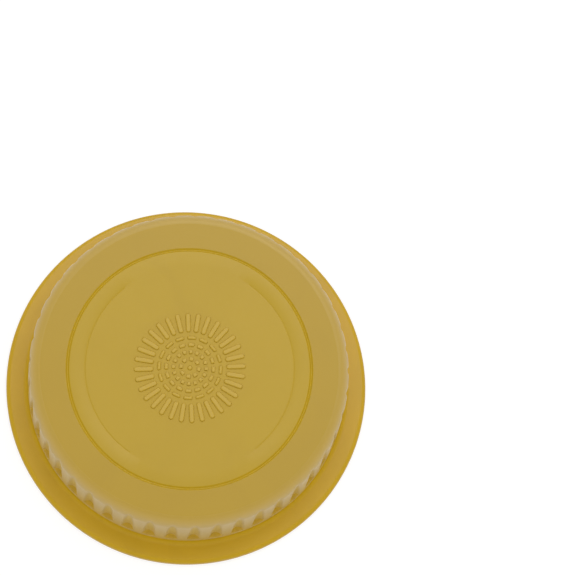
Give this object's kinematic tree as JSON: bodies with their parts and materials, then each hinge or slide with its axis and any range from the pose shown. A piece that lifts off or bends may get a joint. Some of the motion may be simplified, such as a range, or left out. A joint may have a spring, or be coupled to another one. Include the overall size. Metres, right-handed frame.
{
  "type": "rear lens cap",
  "caption": "Round moulded cap with a ribbed grip and a flange round its open mouth, which locks behind a camera lens with an inner bayonet and covers its rear glass.",
  "frame": {"origin": "centre of the mouth, in the plane of the flange's underside, on which the cap stands", "axes": "+Z along the cap's axis from the mouth to the closed top; +Y through the middle of one rib, one ray and the first bayonet tab"},
  "size_m": [0.066, 0.066, 0.0167],
  "materials": {
    "cap_plastic": "mustard yellow moulded plastic with a fine satin grain"
  },
  "bodies": {
    "root": {"rear_cap": "cap_plastic"}
  },
  "joints": []
}
